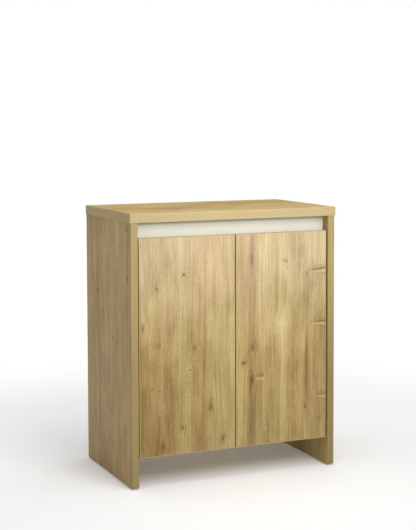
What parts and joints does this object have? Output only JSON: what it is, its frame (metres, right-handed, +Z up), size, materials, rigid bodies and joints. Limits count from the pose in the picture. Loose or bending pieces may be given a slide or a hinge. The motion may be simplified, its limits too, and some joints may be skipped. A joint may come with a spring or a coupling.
{
  "type": "aquarium stand cabinet",
  "caption": "Free-standing oak-faced cabinet that carries an aquarium: two inset doors, a recessed rail as finger gap, a shelf inside and lined hose holes in the back.",
  "frame": {"origin": "on the floor, at the middle of the cabinet's outline", "axes": "+X to the right seen from the front, +Y to the back (doors face -Y), +Z up"},
  "size_m": [0.61, 0.36, 0.73],
  "materials": {
    "oak_board": "light oak laminate on particle board, satin",
    "edge_band": "plain oak-coloured ABS edge band",
    "cream_board": "off-white melamine, satin",
    "beech_dowel": "plain beech",
    "zinc_casting": "die-cast zinc",
    "plated_steel": "nickel plate",
    "moulded_plastic": "moulded, fine texture",
    "glide_plastic": "smooth polyethylene",
    "magnet": "dark ferrite"
  },
  "bodies": {
    "carcass": {"back_panel": "oak_board", "bottom_edge_band": "edge_band", "bottom_panel": "oak_board", "cam_bolts": "plated_steel", "cam_locks": "zinc_casting", "catch_housings": "moulded_plastic", "catch_magnets": "magnet", "catch_screws": "plated_steel", "finger_rail": "cream_board", "floor_glides": "glide_plastic", "hinge_arm_screws": "plated_steel", "hinge_plate_screws": "plated_steel", "left_hose_grommet": "moulded_plastic", "right_hose_grommet": "moulded_plastic", "left_lower_hinge_arm": "plated_steel", "left_lower_hinge_plate": "plated_steel", "left_upper_hinge_arm": "plated_steel", "left_upper_hinge_plate": "plated_steel", "right_lower_hinge_arm": "plated_steel", "right_lower_hinge_plate": "plated_steel", "right_upper_hinge_arm": "plated_steel", "right_upper_hinge_plate": "plated_steel", "left_side_edge_band": "edge_band", "left_side_panel": "oak_board", "right_side_edge_band": "edge_band", "right_side_panel": "oak_board", "shelf": "oak_board", "shelf_edge_band": "edge_band", "shelf_pins": "plated_steel", "top_front_edge_band": "edge_band", "top_left_edge_band": "edge_band", "top_panel": "oak_board", "top_right_edge_band": "edge_band", "wood_dowels": "beech_dowel"},
    "left_door": {"left_door_panel": "oak_board", "left_door_edge_bands": "edge_band", "left_lower_hinge_cup": "plated_steel", "left_upper_hinge_cup": "plated_steel", "left_hinge_cup_screws": "plated_steel", "left_hinge_pins": "plated_steel", "left_strike_plate": "plated_steel", "left_strike_screw": "plated_steel"},
    "right_door": {"right_door_panel": "oak_board", "right_door_edge_bands": "edge_band", "right_lower_hinge_cup": "plated_steel", "right_upper_hinge_cup": "plated_steel", "right_hinge_cup_screws": "plated_steel", "right_hinge_pins": "plated_steel", "right_strike_plate": "plated_steel", "right_strike_screw": "plated_steel"}
  },
  "joints": [
    {"name": "left_door_hinge", "type": "hinge", "parent": "carcass", "child": "left_door", "pos_m": [-0.265, -0.1658, 0.372], "axis": [0, 0, -1], "range_deg": [0, 95]},
    {"name": "right_door_hinge", "type": "hinge", "parent": "carcass", "child": "right_door", "pos_m": [0.265, -0.1658, 0.372], "axis": [0, 0, 1], "range_deg": [0, 95]}
  ]
}
